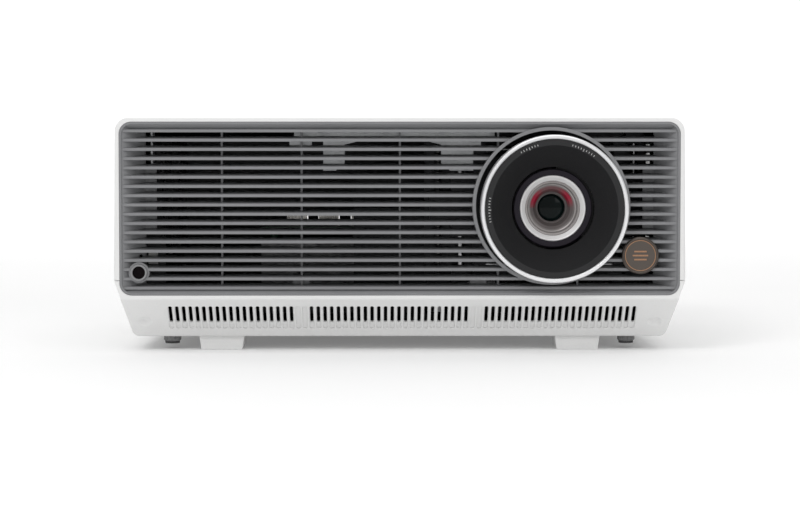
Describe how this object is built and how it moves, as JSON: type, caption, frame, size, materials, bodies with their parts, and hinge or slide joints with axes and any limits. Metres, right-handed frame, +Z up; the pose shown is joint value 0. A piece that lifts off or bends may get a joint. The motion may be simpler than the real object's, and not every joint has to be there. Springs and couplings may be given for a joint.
{
  "type": "home projector",
  "caption": "Home projector: white two-part case, dark louvred front, offset lens in a bright ring on a two-axis shift stage, fans, screw feet and keys.",
  "frame": {"origin": "table level, at the centre of the overall footprint", "axes": "+Z up, the front faces -Y, +X to the right of someone looking at the front"},
  "size_m": [0.37, 0.294, 0.1534],
  "materials": {
    "white_case": "fine moulded texture",
    "grille_grey": "satin dark grey paint",
    "rear_panel_grey": "fine moulded texture",
    "bracket_metal": "zinc plated sheet",
    "ir_bezel": "satin",
    "ir_lens": "polished dark filter",
    "circuit_board": "solder mask",
    "badge_face": "satin",
    "badge_line": "copper coloured",
    "brass": "turned",
    "foot_plastic": "moulded",
    "foot_rubber": "soft",
    "bright_ring": "fine turned and anodised",
    "funnel_black": "light absorbing",
    "barrel_black": "black anodised",
    "chrome_ring": "polished to satin",
    "throat_grey": "satin",
    "lens_glass": "multi-coated",
    "gear_plastic": "moulded",
    "motor_steel": "drawn can",
    "stage_aluminium": "machined",
    "rod_steel": "ground",
    "engine_casting": "dark painted die casting",
    "fin_aluminium": "extruded",
    "fan_plastic": "moulded",
    "supply_steel": "zinc plated sheet",
    "socket_steel": "plated",
    "inlet_plastic": "moulded",
    "button_plastic": "satin",
    "light_guide": "frosted",
    "screw_steel": "zinc plated"
  },
  "bodies": {
    "chassis": {"top_cover": "white_case", "bottom_tray": "white_case", "front_grille": "grille_grey", "rear_panel": "rear_panel_grey", "left_side_grille": "white_case", "right_side_grille": "white_case", "upper_bracket": "bracket_metal", "ir_tube": "ir_bezel", "ir_window": "ir_lens", "ir_board": "circuit_board", "badge_plate": "badge_face", "badge_inlay": "badge_line", "mounting_inserts": "brass", "stage_base": "stage_aluminium", "vertical_rods": "rod_steel", "vertical_shift_motor": "motor_steel", "optical_engine": "engine_casting", "imager_heat_sink": "fin_aluminium", "laser_module": "engine_casting", "laser_heat_sink": "fin_aluminium", "fan_frame_front": "fan_plastic", "fan_frame_rear": "fan_plastic", "fan_frame_right": "fan_plastic", "power_supply": "supply_steel", "main_board": "circuit_board", "video_sockets": "socket_steel", "network_socket": "socket_steel", "mains_inlet": "inlet_plastic", "button_board": "circuit_board", "status_lights": "light_guide", "case_screws": "screw_steel"},
    "cross_stage": {"cross_carriage": "stage_aluminium", "horizontal_rods": "rod_steel", "horizontal_shift_motor": "motor_steel"},
    "lens_stage": {"lens_carriage": "stage_aluminium", "lens_trim_ring": "bright_ring", "lens_funnel": "funnel_black", "lens_shroud": "funnel_black", "lens_barrel": "barrel_black", "barrel_front_ring": "chrome_ring", "lens_baffle": "throat_grey", "front_lens": "lens_glass", "rear_lens": "lens_glass", "focus_motor": "motor_steel", "zoom_motor": "motor_steel"},
    "vertical_screw": {"vertical_lead_screw": "brass"},
    "horizontal_screw": {"horizontal_lead_screw": "brass"},
    "focus_ring": {"focus_ring": "gear_plastic"},
    "zoom_ring": {"zoom_ring": "gear_plastic"},
    "focus_pinion": {"focus_pinion": "brass"},
    "zoom_pinion": {"zoom_pinion": "brass"},
    "fan_front": {"fan_rotor_front": "fan_plastic"},
    "fan_rear": {"fan_rotor_rear": "fan_plastic"},
    "fan_right": {"fan_rotor_right": "fan_plastic"},
    "foot_sole_left": {"foot_sole_left": "foot_rubber"},
    "foot_sole_right": {"foot_sole_right": "foot_rubber"},
    "foot_knob_left": {"foot_knob_left": "foot_plastic"},
    "foot_knob_right": {"foot_knob_right": "foot_plastic"},
    "power_button": {"power_button": "button_plastic"},
    "navigation_key": {"navigation_key": "button_plastic"}
  },
  "joints": [
    {"name": "vertical_shift", "type": "slide", "parent": "chassis", "child": "cross_stage", "axis": [0, 0, 1], "range_m": [-0.0032, 0.0064]},
    {"name": "horizontal_shift", "type": "slide", "parent": "cross_stage", "child": "lens_stage", "axis": [1, 0, 0], "range_m": [-0.00415, 0.00145]},
    {"name": "vertical_screw_turn", "type": "hinge", "parent": "chassis", "child": "vertical_screw", "pos_m": [0.0262, -0.075, 0.094], "axis": [0, 0, 1], "range_deg": [-576, 1152]},
    {"name": "horizontal_screw_turn", "type": "hinge", "parent": "cross_stage", "child": "horizontal_screw", "pos_m": [0.0992, -0.091, 0.043], "axis": [1, 0, 0], "range_deg": [-747, 261]},
    {"name": "focus_turn", "type": "hinge", "parent": "lens_stage", "child": "focus_ring", "pos_m": [0.0992, -0.12, 0.094], "axis": [0, 1, 0], "range_deg": [-45, 45]},
    {"name": "zoom_turn", "type": "hinge", "parent": "lens_stage", "child": "zoom_ring", "pos_m": [0.0992, -0.11, 0.094], "axis": [0, 1, 0], "range_deg": [-40, 40]},
    {"name": "focus_pinion_turn", "type": "hinge", "parent": "lens_stage", "child": "focus_pinion", "pos_m": [0.13013, -0.12, 0.10526], "axis": [0, 1, 0], "range_deg": [-270, 270]},
    {"name": "zoom_pinion_turn", "type": "hinge", "parent": "lens_stage", "child": "zoom_pinion", "pos_m": [0.06827, -0.11, 0.08274], "axis": [0, 1, 0], "range_deg": [-240, 240]},
    {"name": "fan_front_spin", "type": "hinge", "parent": "chassis", "child": "fan_front", "pos_m": [-0.1674, -0.055, 0.098], "axis": [1, 0, 0], "continuous": true},
    {"name": "fan_rear_spin", "type": "hinge", "parent": "chassis", "child": "fan_rear", "pos_m": [-0.1674, 0.069, 0.098], "axis": [1, 0, 0], "continuous": true},
    {"name": "fan_right_spin", "type": "hinge", "parent": "chassis", "child": "fan_right", "pos_m": [0.1674, 0.069, 0.098], "axis": [1, 0, 0], "continuous": true},
    {"name": "foot_left_height", "type": "slide", "parent": "chassis", "child": "foot_sole_left", "axis": [0, 0, -1], "range_m": [0, 0.012]},
    {"name": "foot_left_turn", "type": "hinge", "parent": "foot_sole_left", "child": "foot_knob_left", "pos_m": [-0.1515, -0.085, 0.008], "axis": [0, 0, 1], "range_deg": [0, 2880]},
    {"name": "foot_right_height", "type": "slide", "parent": "chassis", "child": "foot_sole_right", "axis": [0, 0, -1], "range_m": [0, 0.012]},
    {"name": "foot_right_turn", "type": "hinge", "parent": "foot_sole_right", "child": "foot_knob_right", "pos_m": [0.1515, -0.085, 0.008], "axis": [0, 0, 1], "range_deg": [0, 2880]},
    {"name": "power_button_press", "type": "slide", "parent": "chassis", "child": "power_button", "axis": [0, 0, -1], "range_m": [0, 0.001], "stiffness_N_per_m": 1500, "springref_m": -0.0003},
    {"name": "navigation_key_press", "type": "slide", "parent": "chassis", "child": "navigation_key", "axis": [0, 0, -1], "range_m": [0, 0.001], "stiffness_N_per_m": 1500, "springref_m": -0.0003}
  ],
  "couplings": [
    {"joint": "vertical_screw_turn", "follows": "vertical_shift", "rad_per_m": 3141.6},
    {"joint": "horizontal_screw_turn", "follows": "horizontal_shift", "rad_per_m": 3141.6},
    {"joint": "focus_pinion_turn", "follows": "focus_turn", "ratio": -5.8333},
    {"joint": "zoom_pinion_turn", "follows": "zoom_turn", "ratio": -5.8333},
    {"joint": "foot_left_turn", "follows": "foot_left_height", "rad_per_m": 4188.8},
    {"joint": "foot_right_turn", "follows": "foot_right_height", "rad_per_m": 4188.8}
  ]
}
